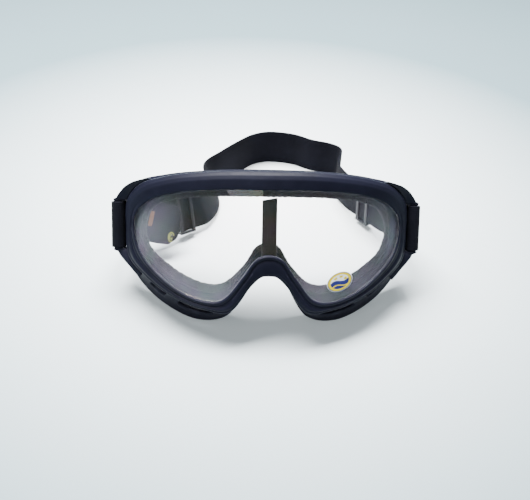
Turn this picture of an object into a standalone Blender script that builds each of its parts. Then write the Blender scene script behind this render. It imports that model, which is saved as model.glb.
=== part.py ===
"""Motorcycle goggles: a curved clear visor in a soft moulded frame with an elastic head strap.

The frame is drawn upright in its own axes (x across, y back from the front of the lens, z up, in
millimetres) and then leaned back the way the goggles rest on a table. The strap is drawn in table axes.
"""

import math

import bmesh
import bpy
import numpy as np
from mathutils import Matrix

MM = 0.001
UPRIGHT = np.array([0.0, 0.0, 1.0])

# Driving dimensions, millimetres and degrees
FRONT_RADIUS = 125.0
FACE_RADIUS = 150.0
FACE_DEPTH = 25.0
LEAN = math.radians(32.0)
SEAT_HEIGHT = 55.5
SAMPLES_PER_SPAN = 4

LENS_SETBACK = 2.7
LENS_THICKNESS = 1.2
LENS_REACH = 0.30
RIM_DEPTH = 8.6
FIT_GAP = 0.3
FOAM_THICKNESS = 6.8
FLANGE_THICKNESS = 2.2
MOULD_GAP = 0.2
SEAT_REACH = 0.80
SEAT_LIP = 0.03
SEAT_THICKNESS = 2.0
WALL_FRONT = 4.2
WALL_REAR = 2.6

STICKER_CENTRE = (41.0, -19.0)
STICKER_HALF = (8.0, 5.5)
STICKER_TILT = 21.0
RIB_WIDTH = 8.4
RIB_THICKNESS = 2.2
RIB_CLEARANCE = 3.3
RIB_TOPS = (27.0, 28.6)
RIB_FOOT = (-5.0, -9.1)

WEB_WIDTH = 27.5
WEB_THICKNESS = 1.4
WEB_GAP = 0.4
WEB_ROWS = 4

EAR_DEPTH = 39.0
EAR_HEIGHT = 9.6
EAR_INNER = 87.2
EAR_OUTER = 92.2
FLANK = 85.2
LEAF_LENGTH = 25.0
BAND_START = 20.0
BAND_MIDDLE = 29.5
BAND_STRAIGHT = 33.0
BAND_CLEARANCE = 0.1
BAR_FRONT = 2.0
BAR_BACK = 2.2
ARM_THICKNESS = 1.0
SHOULDER_FRONT = 4.2
SHOULDER_DEPTH = 4.4
SHOULDER_SWEEP = 0.5
SHOULDER_GAP = 0.4
ARM_BACK = 8.5
SLOT_CLEARANCE = 0.6
HEADING_STEP = 0.12

# One row per key point of the half ring, top centre to nose: lens opening, rim edge, flange edge,
# and the inner edge of the face foam, each as (x, z)
RING_ROWS = (
    ((0.0, 32.8), (0.0, 43.2), (0.0, 43.9), (0.0, 28.0)),
    ((30.0, 32.5), (32.0, 42.6), (33.0, 43.0), (30.0, 27.7)),
    ((55.0, 29.8), (59.0, 39.3), (61.0, 40.0), (53.5, 25.6)),
    ((70.0, 24.6), (76.0, 33.6), (79.0, 35.0), (67.5, 21.0)),
    ((77.6, 16.5), (83.6, 25.0), (84.3, 26.4), (72.6, 13.0)),
    ((78.2, 5.0), (84.7, 8.0), (84.2, 8.0), (73.6, 4.0)),
    ((74.2, -6.0), (83.0, -8.5), (84.4, -12.0), (70.0, -6.0)),
    ((65.5, -15.6), (73.0, -18.8), (79.2, -23.4), (61.5, -13.2)),
    ((51.0, -25.6), (55.5, -29.8), (63.2, -37.4), (49.0, -20.8)),
    ((35.5, -30.4), (37.5, -35.6), (41.0, -46.2), (35.0, -25.2)),
    ((26.0, -29.0), (22.3, -36.6), (23.5, -42.8), (25.5, -24.0)),
    ((15.0, -16.0), (9.6, -20.8), (10.0, -22.0), (13.0, -11.8)),
    ((7.2, -5.6), (4.2, -16.0), (4.2, -16.2), (6.6, -1.6)),
    ((0.0, -3.3), (0.0, -15.4), (0.0, -15.4), (0.0, 0.5)),
)
NOSE_ROW = len(RING_ROWS) - 1
FULL_TURN = 2 * NOSE_ROW

# Edge plates that run from each strap bar into the flange: ring row, and outer edge as (x, z)
UPPER_SHOULDER = (
    (4.05, (90.4, 25.9)),
    (3.93, (89.7, 27.2)),
    (3.8, (88.4, 28.9)),
    (3.55, (86.3, 31.3)),
    (3.35, (84.4, 32.9)),
    (3.15, (82.3, 34.2)),
    (2.95, (79.6, 35.6)),
    (2.72, (75.2, 36.9)),
    (2.5, (70.6, 38.0)),
)
LOWER_SHOULDER = (
    (6.8, (78.9, -21.4)),
    (6.55, (81.6, -18.8)),
    (6.32, (83.7, -16.6)),
    (6.2, (85.2, -14.7)),
    (6.05, (87.3, -11.8)),
    (5.88, (89.2, -8.8)),
    (5.76, (90.0, -6.6)),
)

# Bezel section: how far across from the lens opening to the rim edge, and how far behind the front
RIM_PROFILE = (
    (0.00, 1.0),
    (0.07, 0.2),
    (0.22, 0.0),
    (0.34, 0.6),
    (0.82, 0.9),
    (0.95, 1.6),
    (1.00, 2.8),
    (1.00, RIM_DEPTH),
    (0.84, RIM_DEPTH),
    (0.84, 3.85),
    (0.36, 3.85),
    (0.36, 2.4),
    (0.02, 2.3),
)

# Strap centre line on the table: x, y, height of the middle, and outward lean in degrees
LEFT_STRETCH = ((-65.4, 77.2), (-43.2, 94.2))
RIGHT_STRETCH = ((78.6, 84.2), (62.6, 111.6))
STRETCH_HEIGHTS = (20.6, 16.9)
STRETCH_SHARES = (0.0, 0.06, 0.5, 0.94, 1.0)
LEFT_LEAN = 22.0
REAR_STATIONS = (
    (-38.1, 106.6, 15.2, 22.0),
    (-36.9, 121.2, 13.9, 22.0),
    (-38.5, 134.5, 13.3, 18.0),
    (-29.9, 148.3, 13.7, 8.0),
    (-17.2, 164.6, 13.75, 3.0),
    (-6.6, 175.5, 13.75, 0.0),
    (5.5, 179.9, 13.75, 0.0),
    (25.4, 176.8, 13.75, 0.0),
    (38.9, 168.9, 13.75, 0.0),
    (52.6, 164.0, 13.75, 0.0),
    (59.6, 158.2, 13.75, 0.0),
    (59.9, 151.3, 13.75, 0.0),
    (56.9, 142.5, 13.8, 0.0),
    (56.6, 130.3, 14.6, 0.0),
)

RETURN_PLACES = (2.75, 6.75)
TAIL_PLACES = (2.75, 4.4)
TAIL_DRIFT = 8.0
TAIL_SINK = 6.5
TAIL_LEAN = 35.0
TAIL_TAPER = 3.5
LABEL_PLACES = (3.1, 3.25)
LABEL_SPAN = (-3.5, 7.5)
LABEL_THICKNESS = 0.5
LABEL_LIFT = 0.9

SLIDER_LENGTH = 12.0
SLIDER_PLATE = 1.3
SLIDER_RAIL = 1.3
SLIDER_BAR = 2.6

VENT_OVERSHOOT = 4.0
VENT_STEPS = 9
TOP_VENT_SHARES = (0.25, 0.72)
CHEEK_VENT_SHARES = (0.30, 0.66)
FILTER_SHARES = (0.24, 0.76)
FILTER_THICKNESS = 2.0
FILTER_CLEARANCE = 0.6
TOP_VENTS = ((0.25, 0.52), (0.68, 0.95), (1.12, 1.42))
CHEEK_VENTS = ((7.35, 7.9), (8.3, 9.45))
BROW_FILTER = 1.75
CHEEK_FILTER = (7.3, 9.8)

MATERIALS = {
    "lens_clear": ((0.86, 0.88, 0.92), 0.04, 0.3),
    "moulded_rubber": ((0.025, 0.027, 0.045), 0.5, 1.0),
    "foam_dark": ((0.02, 0.02, 0.023), 0.95, 1.0),
    "webbing_black": ((0.012, 0.013, 0.022), 0.85, 1.0),
    "adjuster_plastic": ((0.02, 0.02, 0.024), 0.4, 1.0),
    "sticker_print": ((0.75, 0.68, 0.05), 0.35, 1.0),
    "label_thread": ((0.75, 0.25, 0.03), 0.8, 1.0),
}


def clear_scene():
    for found in list(bpy.data.objects):
        bpy.data.objects.remove(found, do_unlink=True)


def make_materials():
    made = {}
    for name, (colour, roughness, alpha) in MATERIALS.items():
        material = bpy.data.materials.new(name)
        material.use_nodes = True
        shader = material.node_tree.nodes["Principled BSDF"]
        shader.inputs["Base Color"].default_value = (*colour, 1.0)
        shader.inputs["Roughness"].default_value = roughness
        shader.inputs["Alpha"].default_value = alpha
        made[name] = material
    return made


def mix(start, end, share):
    return start + (end - start) * share


def unit(vectors):
    return vectors / np.linalg.norm(vectors, axis=-1, keepdims=True)


def smooth_path(keys, places, closed):
    """Points on a centripetal curve through the keys, at fractional key numbers."""
    keys = np.asarray(keys, float)
    count = len(keys)
    if closed:
        padded = np.vstack([keys[-1:], keys, keys[:2]])
        places = np.mod(places, count)
    else:
        padded = np.vstack([2 * keys[0] - keys[1], keys, 2 * keys[-1] - keys[-2]])
        places = np.clip(places, 0, count - 1 - 1e-9)
    spans = np.floor(places).astype(int)
    share = (places - spans)[:, None]
    p0, p1, p2, p3 = (padded[spans + shift] for shift in range(4))
    t1 = np.sqrt(np.linalg.norm(p1 - p0, axis=1))[:, None]
    t2 = t1 + np.sqrt(np.linalg.norm(p2 - p1, axis=1))[:, None]
    t3 = t2 + np.sqrt(np.linalg.norm(p3 - p2, axis=1))[:, None]
    t = mix(t1, t2, share)
    a1 = mix(p0, p1, t / t1)
    a2 = mix(p1, p2, (t - t1) / (t2 - t1))
    a3 = mix(p2, p3, (t - t2) / (t3 - t2))
    b1 = mix(a1, a2, t / t2)
    b2 = mix(a2, a3, (t - t1) / (t3 - t1))
    return mix(b1, b2, (t - t1) / (t2 - t1))


class Ring:
    """The four outlines of the frame, sampled at fractional key rows (0 top, 13 nose, 26 top again)."""

    def __init__(self, rows):
        right = np.array(RING_ROWS)
        left = right[-2:0:-1] * np.array([-1.0, 1.0])
        keys = np.vstack([right, left])
        outlines = [smooth_path(keys[:, kind], rows, closed=True) for kind in range(4)]
        self.opening, self.rim, self.flange, self.foam = outlines

    def across(self, share):
        return mix(self.opening, self.rim, share)

    def inward(self, curve, distance):
        return curve + unit(self.foam - curve) * distance


def front_depth(curve):
    return FRONT_RADIUS - np.sqrt(FRONT_RADIUS**2 - curve[:, 0] ** 2)


def face_depth(curve):
    return FACE_DEPTH + FACE_RADIUS - np.sqrt(FACE_RADIUS**2 - curve[:, 0] ** 2)


def at_depth(curve, depth):
    return np.column_stack([curve[:, 0], depth, curve[:, 1]])


def behind_front(curve, setback):
    return at_depth(curve, front_depth(curve) + setback)


def on_table(points):
    """Leans points drawn in the frame's own axes back onto the table."""
    points = np.asarray(points, float)
    y = points[..., 1] * math.cos(LEAN) + points[..., 2] * math.sin(LEAN)
    z = points[..., 2] * math.cos(LEAN) - points[..., 1] * math.sin(LEAN) + SEAT_HEIGHT
    return np.stack([points[..., 0], y, z], axis=-1)


def grid_faces(stations, corners, closed):
    """Quads of a tube whose sections have the same corners, with flat ends when it is open."""
    faces = []
    for station in range(stations if closed else stations - 1):
        after = (station + 1) % stations
        for corner in range(corners):
            beside = (corner + 1) % corners
            faces.append(
                (
                    station * corners + corner,
                    station * corners + beside,
                    after * corners + beside,
                    after * corners + corner,
                )
            )
    if not closed:
        last = (stations - 1) * corners
        faces.append(tuple(reversed(range(corners))))
        faces.append(tuple(range(last, last + corners)))
    return faces


def add_object(name, points, faces, material, parent, origin=(0.0, 0.0, 0.0), turn=None):
    """A mesh object with its vertices given in table millimetres, rested on the table plane."""
    points = np.asarray(points, float)
    points = np.column_stack([points[:, :2], np.maximum(points[:, 2], 0.0)])
    place = Matrix.Translation([value * MM for value in origin])
    if turn is not None:
        place = place @ turn.to_4x4()
    mesh = bpy.data.meshes.new(name)
    mesh.from_pydata([tuple(point * MM) for point in points], [], faces)
    mesh.transform(place.inverted())
    tidy = bmesh.new()
    tidy.from_mesh(mesh)
    bmesh.ops.recalc_face_normals(tidy, faces=tidy.faces)
    tidy.to_mesh(mesh)
    tidy.free()
    made = bpy.data.objects.new(name, mesh)
    bpy.context.collection.objects.link(made)
    if material is not None:
        mesh.materials.append(material)
    made.parent = parent
    made.matrix_parent_inverse = Matrix()
    made.matrix_local = parent_space(parent).inverted() @ place
    return made


def parent_space(parent):
    """The parent's place in table axes while the root still stands at the table origin."""
    space = Matrix()
    while parent is not None:
        space = parent.matrix_local @ space
        parent = parent.parent
    return space


def add_empty(name, parent, origin=(0.0, 0.0, 0.0)):
    made = bpy.data.objects.new(name, None)
    made.empty_display_size = 10 * MM
    bpy.context.collection.objects.link(made)
    made.parent = parent
    made.location = [value * MM for value in origin]
    bpy.context.view_layer.update()
    return made


def loft(name, sections, material, parent, closed=False, **placing):
    """A solid through matching section corners; each entry holds one corner at every station."""
    points = np.stack(sections, axis=1)
    stations, corners = points.shape[:2]
    faces = grid_faces(stations, corners, closed)
    return add_object(name, points.reshape(-1, 3), faces, material, parent, **placing)


def whole_ring():
    return Ring(np.arange(FULL_TURN * SAMPLES_PER_SPAN) / SAMPLES_PER_SPAN)


def part_ring(start, end, steps):
    return Ring(np.linspace(start, end, steps))


def build_front_rim(material, parent):
    ring = whole_ring()
    sections = [on_table(behind_front(ring.across(share), back)) for share, back in RIM_PROFILE]
    return loft("front_rim", sections, material, parent, closed=True)


def wall_line(ring, share):
    """Outer surface of the side wall, from behind the bezel (0) to the flange (1)."""
    start = front_depth(ring.rim) + RIM_DEPTH + FIT_GAP
    end = face_depth(ring.flange) - FLANGE_THICKNESS
    return mix(ring.rim, ring.flange, share), mix(start, end, share)


def wall_point(ring, share, inset):
    curve, depth = wall_line(ring, share)
    return on_table(at_depth(ring.inward(curve, inset), depth))


def vent_blocks(openings, shares):
    """Curved blocks through the side wall, one for each vent slot on both sides."""
    near, far = shares
    points = []
    faces = []
    for start, end in openings:
        for low, high in ((start, end), (FULL_TURN - end, FULL_TURN - start)):
            ring = part_ring(low, high, VENT_STEPS)
            sections = [
                wall_point(ring, near, -VENT_OVERSHOOT),
                wall_point(ring, far, -VENT_OVERSHOOT),
                wall_point(ring, far, WALL_FRONT + 1.0),
                wall_point(ring, near, WALL_FRONT + 1.0),
            ]
            base = len(points)
            points.extend(np.stack(sections, axis=1).reshape(-1, 3))
            block = grid_faces(VENT_STEPS, len(sections), closed=False)
            faces.extend(tuple(base + index for index in face) for face in block)
    return points, faces


def cut_with(target, name, points, faces, parent, **placing):
    """Cuts one wire block out of a solid and leaves the block hidden."""
    cutter = add_object(name, points, faces, None, parent, **placing)
    cutter.hide_render = True
    cutter.display_type = "WIRE"
    cut = target.modifiers.new(name, "BOOLEAN")
    cut.operation = "DIFFERENCE"
    cut.solver = "EXACT"
    cut.object = cutter


def build_lens_seat(material, parent):
    """The ledge behind the lens, running back to the front of the side wall."""
    ring = whole_ring()
    front = LENS_SETBACK + LENS_THICKNESS + FIT_GAP
    back = front_depth(ring.rim) + RIM_DEPTH + FIT_GAP - MOULD_GAP
    sections = [
        on_table(behind_front(ring.across(SEAT_REACH), front)),
        on_table(at_depth(ring.across(SEAT_REACH), back)),
        on_table(at_depth(ring.inward(ring.rim, WALL_FRONT), back)),
        on_table(behind_front(ring.across(SEAT_LIP), front + SEAT_THICKNESS)),
        on_table(behind_front(ring.across(SEAT_LIP), front)),
    ]
    loft("lens_seat", sections, material, parent, closed=True)


def build_skirt(material, parent):
    """The side wall between the bezel and the face flange, with its vent slots."""
    ring = whole_ring()
    rear_inner = ring.inward(ring.flange, WALL_REAR)
    sections = [
        wall_point(ring, 0.0, 0.0),
        wall_point(ring, 1.0, 0.0),
        on_table(at_depth(rear_inner, face_depth(rear_inner) - FLANGE_THICKNESS)),
        wall_point(ring, 0.0, WALL_FRONT),
    ]
    skirt = loft("frame_skirt", sections, material, parent, closed=True)
    for name, openings, shares in (
        ("top_vents", TOP_VENTS, TOP_VENT_SHARES),
        ("cheek_vents", CHEEK_VENTS, CHEEK_VENT_SHARES),
    ):
        points, faces = vent_blocks(openings, shares)
        cut_with(skirt, name, points, faces, parent)


def build_face_flange(material, parent):
    """The flat rear ring that the foam is bonded to."""
    ring = whole_ring()
    wall_inner = ring.inward(ring.flange, WALL_REAR)
    inner = mix(ring.flange, ring.foam, SEAT_REACH)
    front = MOULD_GAP - FLANGE_THICKNESS
    sections = [
        on_table(at_depth(ring.flange, face_depth(ring.flange) + front)),
        on_table(at_depth(ring.flange, face_depth(ring.flange))),
        on_table(at_depth(inner, face_depth(inner))),
        on_table(at_depth(inner, face_depth(inner) + front)),
        on_table(at_depth(wall_inner, face_depth(wall_inner) + front)),
    ]
    loft("face_flange", sections, material, parent, closed=True)


def build_foams(material, parent):
    ring = whole_ring()
    outer = mix(ring.flange, ring.foam, 0.06)
    outer_soft = mix(ring.flange, ring.foam, 0.17)
    inner_soft = mix(ring.flange, ring.foam, 0.88)
    face = FIT_GAP
    back = FIT_GAP + FOAM_THICKNESS
    sections = [
        on_table(at_depth(outer, face_depth(outer) + face)),
        on_table(at_depth(outer, face_depth(outer) + back - 1.8)),
        on_table(at_depth(outer_soft, face_depth(outer_soft) + back)),
        on_table(at_depth(inner_soft, face_depth(inner_soft) + back)),
        on_table(at_depth(ring.foam, face_depth(ring.foam) + back - 1.8)),
        on_table(at_depth(ring.foam, face_depth(ring.foam) + face)),
    ]
    loft("face_foam", sections, material, parent, closed=True)
    build_vent_foam("brow_vent_foam", (-BROW_FILTER, BROW_FILTER), 29, material, parent)
    start, end = CHEEK_FILTER
    build_vent_foam("cheek_vent_foam_right", (start, end), 21, material, parent)
    build_vent_foam("cheek_vent_foam_left", (FULL_TURN - end, FULL_TURN - start), 21, material, parent)


def build_vent_foam(name, rows, steps, material, parent):
    """A thin filter strip lying on the inner face of the side wall."""
    ring = part_ring(rows[0], rows[1], steps)
    sections = []
    near, far = FILTER_SHARES
    inner = FILTER_CLEARANCE + FILTER_THICKNESS
    for share, clear in ((near, FILTER_CLEARANCE), (far, FILTER_CLEARANCE), (far, inner), (near, inner)):
        wall = mix(WALL_FRONT, WALL_REAR, share)
        sections.append(wall_point(ring, share, wall + clear))
    loft(name, sections, material, parent)


def lens_columns():
    """Top and bottom edge of the lens at a row of x positions, left to right."""
    ring = whole_ring()
    edge = ring.across(LENS_REACH)
    half = NOSE_ROW * SAMPLES_PER_SPAN
    right = edge[: half + 1]
    widest = int(np.argmax(right[:, 0]))
    top = right[: widest + 1]
    bottom = right[widest:][::-1]
    across = np.unique(np.round(np.concatenate([top[:, 0], bottom[::2, 0]]), 3))
    across = np.clip(across, 0.0, right[widest, 0] - 0.02)
    high = np.interp(across, top[:, 0], top[:, 1])
    low = np.interp(across, bottom[:, 0], bottom[:, 1])
    x = np.concatenate([-across[:0:-1], across])
    return x, np.concatenate([high[:0:-1], high]), np.concatenate([low[:0:-1], low])


def build_lens(material, parent):
    x, high, low = lens_columns()
    sections = []
    for height, setback in ((low, 0.0), (high, 0.0), (high, LENS_THICKNESS), (low, LENS_THICKNESS)):
        curve = np.column_stack([x, height])
        sections.append(on_table(behind_front(curve, LENS_SETBACK + setback)))
    loft("lens", sections, material, parent)


def build_sticker(material, parent):
    """A tilted oval cut from thin film, laid on the front of the lens."""
    tilt = math.radians(STICKER_TILT)
    half_x = math.hypot(STICKER_HALF[0] * math.cos(tilt), STICKER_HALF[1] * math.sin(tilt))
    shear = (STICKER_HALF[0] ** 2 - STICKER_HALF[1] ** 2) * math.sin(tilt) * math.cos(tilt) / half_x**2
    across = half_x * np.cos(np.linspace(math.pi * 0.97, math.pi * 0.03, 17))
    reach = STICKER_HALF[0] * STICKER_HALF[1] / half_x * np.sqrt(1.0 - (across / half_x) ** 2)
    middle = STICKER_CENTRE[1] + shear * across
    sections = []
    for height, setback in ((-1, -0.05), (1, -0.05), (1, -0.25), (-1, -0.25)):
        curve = np.column_stack([STICKER_CENTRE[0] + across, middle + height * reach])
        sections.append(on_table(behind_front(curve, LENS_SETBACK + setback)))
    loft("lens_sticker", sections, material, parent)


def build_centre_rib(material, parent):
    half = RIB_WIDTH / 2
    front = LENS_SETBACK + LENS_THICKNESS + RIB_CLEARANCE
    back = front + RIB_THICKNESS
    front_foot, back_foot = RIB_FOOT
    corners = []
    for x, top in zip((-half, half), RIB_TOPS):
        for y, z in ((front, front_foot), (front, top), (back, top), (back, back_foot)):
            corners.append((x, y, z))
    add_object("centre_rib", on_table(corners), grid_faces(2, 4, closed=False), material, parent)


def shoulder_sections(keys):
    """Cross-sections of an edge plate: inner front, outer front, outer back and inner back corners."""
    ring = Ring(np.array([row for row, _ in keys]))
    inner = ring.rim + unit(ring.rim - ring.opening) * SHOULDER_GAP
    front = front_depth(ring.rim) + SHOULDER_FRONT
    back = front + SHOULDER_DEPTH
    sections = []
    for (x, z), (_, outer), y_low, y_high in zip(inner, keys, front, back):
        sections.append(
            (
                (x, y_low, z),
                (outer[0], y_low + SHOULDER_SWEEP, outer[1]),
                (outer[0], y_high, outer[1]),
                (x, y_high, z),
            )
        )
    return sections


def build_anchor(side, material, parent):
    """A strap bar on two arms beside the frame, with edge plates above and below; a stack up the bar."""
    slot_low = EAR_HEIGHT - WEB_WIDTH / 2 - SLOT_CLEARANCE
    slot_high = EAR_HEIGHT + WEB_WIDTH / 2 + SLOT_CLEARANCE
    arm_back = EAR_DEPTH + ARM_BACK
    arm_front = EAR_DEPTH - BAR_FRONT
    arm = (FLANK, EAR_OUTER, arm_front, arm_back)
    bar = (EAR_INNER, EAR_OUTER - 0.3, arm_front + 0.3, EAR_DEPTH + BAR_BACK)
    levels = (
        (slot_low - ARM_THICKNESS, arm),
        (slot_low, arm),
        (slot_low, bar),
        (slot_high, bar),
        (slot_high, arm),
        (slot_high + ARM_THICKNESS, arm),
    )
    sections = shoulder_sections(LOWER_SHOULDER)
    for z, (x_low, x_high, y_low, y_high) in levels:
        sections.append(((x_low, y_low, z), (x_high, y_low, z), (x_high, y_high, z), (x_low, y_high, z)))
    sections.extend(shoulder_sections(UPPER_SHOULDER))
    points = [(side * x, y, z) for section in sections for x, y, z in section]
    faces = grid_faces(len(sections), 4, closed=False)
    add_object(side_name("strap_anchor", side), on_table(points), faces, material, parent)


def side_name(stem, side):
    return f"{stem}_right" if side > 0 else f"{stem}_left"


def build_loop(side, material, parent):
    """Webbing folded round the front of the ear bar, its two leaves running back past the face."""
    inner = FLANK + 0.1 + WEB_THICKNESS / 2
    band = inner + WEB_THICKNESS + WEB_GAP
    outer = band + WEB_THICKNESS + WEB_GAP
    wide = EAR_OUTER + WEB_GAP + WEB_THICKNESS / 2
    front = EAR_DEPTH - BAR_FRONT - WEB_GAP - WEB_THICKNESS / 2
    keys = (
        (inner, EAR_DEPTH + LEAF_LENGTH),
        (inner, EAR_DEPTH + 4.0),
        (inner, EAR_DEPTH + 1.0),
        (inner + 0.5, front + 0.4),
        (inner + 2.0, front - 0.2),
        (wide - 1.8, front),
        (wide - 0.3, front + 0.9),
        (wide, EAR_DEPTH + 1.0),
        (wide - 0.3, EAR_DEPTH + 6.0),
        (outer, EAR_DEPTH + 12.0),
        (outer, EAR_DEPTH + 14.0),
        (outer, EAR_DEPTH + LEAF_LENGTH),
    )
    path = smooth_path(keys, np.linspace(0, len(keys) - 1, 31), closed=False)
    heading = unit(np.gradient(path, axis=0))
    normal = np.column_stack([-heading[:, 1], heading[:, 0]]) * WEB_THICKNESS / 2
    sections = []
    for offset, height in ((1, -1), (1, 1), (-1, 1), (-1, -1)):
        edge = path + normal * offset
        z = np.full(len(path), EAR_HEIGHT + height * WEB_WIDTH / 2)
        sections.append(on_table(np.column_stack([side * edge[:, 0], edge[:, 1], z])))
    loft(side_name("strap_loop", side), sections, material, parent)


def band_line_x():
    return FLANK + 0.1 + WEB_THICKNESS * 1.5 + WEB_GAP


def stretch_ends(stretch):
    return [np.append(point, height) for point, height in zip(stretch, STRETCH_HEIGHTS)]


def stretch_keys(stretch, lean):
    """Key points along the straight run that an adjuster slides on, ear end first."""
    start, end = stretch_ends(stretch)
    return [(*mix(start, end, share), lean) for share in STRETCH_SHARES]


def strap_keys():
    """Centre line of the head strap from the left ear round the back to the right ear."""
    backs = (BAND_START, BAND_MIDDLE, BAND_STRAIGHT)
    ear = on_table([(band_line_x(), EAR_DEPTH + back, EAR_HEIGHT) for back in backs])
    left = [(-x, y, z, 0.0) for x, y, z in ear]
    left.append((-78.8, 69.6, 25.0, 10.0))
    left.extend(stretch_keys(LEFT_STRETCH, LEFT_LEAN))
    right = stretch_keys(RIGHT_STRETCH, 0.0)[::-1]
    right.append((84.2, 73.6, 24.6, 0.0))
    right.extend((x, y, z, 0.0) for x, y, z in ear[::-1])
    return np.array(left + list(REAR_STATIONS) + right)


def strap_frame(places):
    """Middle, width direction and outward normal of the strap at fractional key numbers."""
    keys = strap_keys()
    sampled = smooth_path(keys, places, closed=False)
    middle = sampled[:, :3]
    last = len(keys) - 1
    ahead = smooth_path(keys, np.minimum(places + HEADING_STEP, last), closed=False)
    behind = smooth_path(keys, np.maximum(places - HEADING_STEP, 0), closed=False)
    heading = unit((ahead - behind)[:, :3])
    rise = unit(UPRIGHT - heading * (heading @ UPRIGHT)[:, None])
    outward = np.cross(rise, heading)
    lean = np.radians(sampled[:, 3])[:, None]
    width = rise * np.cos(lean) + outward * np.sin(lean)
    return middle, width, outward * np.cos(lean) - rise * np.sin(lean)


def strap_places(start, end, per_span=4):
    return np.linspace(start, end, int(round((end - start) * per_span)) + 1)


def build_web(name, places, material, parent, outward=0.0, thickness=WEB_THICKNESS, high=None, low=None, lean=0.0):
    """A length of webbing along the strap line, set outward (or inward) from it and leaned further."""
    middle, width, normal = strap_frame(places)
    tilt = np.radians(np.broadcast_to(lean, (len(places),)))[:, None]
    across = width * np.cos(tilt) + normal * np.sin(tilt)
    face = normal * np.cos(tilt) - width * np.sin(tilt)
    high = np.full(len(places), WEB_WIDTH / 2) if high is None else high
    low = -high if low is None else low
    shift = np.broadcast_to(np.asarray(outward, float), (len(places),))[:, None]
    rows = np.linspace(0.0, 1.0, WEB_ROWS)
    sections = []
    for offset, row in [(1, row) for row in rows] + [(-1, row) for row in rows[::-1]]:
        edge = across * mix(low, high, row)[:, None] + face * (offset * thickness / 2)
        sections.append(middle + normal * shift + edge)
    loft(name, sections, material, parent[0], origin=parent[1])


def build_strap(materials, swing):
    webbing = materials["webbing_black"]
    last = len(strap_keys()) - 1
    stack = WEB_THICKNESS + WEB_GAP + BAND_CLEARANCE
    build_web("strap_band", strap_places(0, last), webbing, swing)
    start, end = RETURN_PLACES
    build_web("strap_return_left", strap_places(start, end), webbing, swing, outward=stack)
    build_web("strap_return_right", strap_places(last - end, last - start), webbing, swing, outward=stack)
    build_tail(materials, swing)


def tail_lie(places):
    """How far the loose end stands inward of the strap line, sinks below it and leans in degrees."""
    start, end = TAIL_PLACES
    along = (places - start) / (end - start)
    return WEB_THICKNESS + WEB_GAP + TAIL_DRIFT * along, TAIL_SINK * along, TAIL_LEAN * along


def build_tail(materials, swing):
    """The loose end of the webbing inside the left run, and the woven tab stitched across it."""
    places = strap_places(*TAIL_PLACES, 6)
    drift, sink, lean = tail_lie(places)
    narrowing = TAIL_TAPER * np.maximum(np.linspace(-4.0, 1.0, len(places)), 0.0)
    half = WEB_WIDTH / 2 - narrowing
    size = {"high": half - sink, "low": -half - sink}
    build_web("strap_tail_left", places, materials["webbing_black"], swing, outward=-drift, lean=lean, **size)
    places = np.linspace(*LABEL_PLACES, 3)
    drift, sink, lean = tail_lie(places)
    lift = -drift - WEB_THICKNESS / 2 - LABEL_LIFT
    low, high = (edge - sink for edge in LABEL_SPAN)
    size = {"thickness": LABEL_THICKNESS, "high": high, "low": low}
    build_web("strap_label", places, materials["label_thread"], swing, outward=lift, lean=lean, **size)


def slider_turn(heading, lean):
    """Local x along the strap, local y outward, local z up its width."""
    rise = unit(UPRIGHT - heading * (heading @ UPRIGHT))
    outward = np.cross(rise, heading)
    angle = math.radians(lean)
    width = rise * math.cos(angle) + outward * math.sin(angle)
    normal = outward * math.cos(angle) - rise * math.sin(angle)
    return Matrix(np.column_stack([heading, normal, width]).tolist())


def placed_block(size, centre, turn, middle):
    """Corners in table axes of a block drawn in an adjuster's own axes."""
    half = np.array(size) / 2
    corners = []
    for z in (-1, 1):
        for x, y in ((-1, -1), (1, -1), (1, 1), (-1, 1)):
            corners.append(np.array(centre) + half * np.array((x, y, z)))
    return np.array(corners) @ np.array(turn).T + middle


def build_slider(side, stretch, lean, material, swing):
    """A three-bar adjuster: two side rails, a middle bar outside the webbing and two end bars inside."""
    start, end = stretch_ends(stretch)
    heading = unit(start - end) * side
    middle = (start + end) / 2
    turn = slider_turn(heading, lean)
    slot = 2 * WEB_THICKNESS + WEB_GAP + 2 * FIT_GAP
    offset = (WEB_THICKNESS + WEB_GAP) / 2
    depth = slot + 2 * SLIDER_PLATE
    height = WEB_WIDTH + 1.0 + 2 * SLIDER_RAIL
    window = (SLIDER_LENGTH - 3 * SLIDER_BAR) / 2
    outer_y = offset + (slot + SLIDER_PLATE) / 2
    inner_y = offset - (slot + SLIDER_PLATE) / 2
    opening = WEB_WIDTH + 1.0
    pieces = [((SLIDER_LENGTH + 2, slot, opening), (0.0, offset, 0.0))]
    for sign in (-1, 1):
        reach = SLIDER_BAR / 2 + window / 2 + SLIDER_BAR / 2
        size = (window + SLIDER_BAR + 1.0, SLIDER_PLATE + 0.4, opening)
        pieces.append((size, (sign * (reach + 0.5), outer_y + 0.1, 0.0)))
    pieces.append(((SLIDER_LENGTH - 2 * SLIDER_BAR, SLIDER_PLATE + 0.4, opening), (0.0, inner_y - 0.1, 0.0)))
    placing = {"origin": tuple(middle), "turn": turn}
    faces = grid_faces(2, 4, closed=False)
    name = side_name("slider", side)
    body = placed_block((SLIDER_LENGTH, depth, height), (0.0, offset, 0.0), turn, middle)
    slider = add_object(name, body, faces, material, swing[0], **placing)
    for number, (size, centre) in enumerate(pieces):
        corners = placed_block(size, centre, turn, middle)
        cut_with(slider, f"{name}_cutter_{number}", corners, faces, swing[0], **placing)


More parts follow.
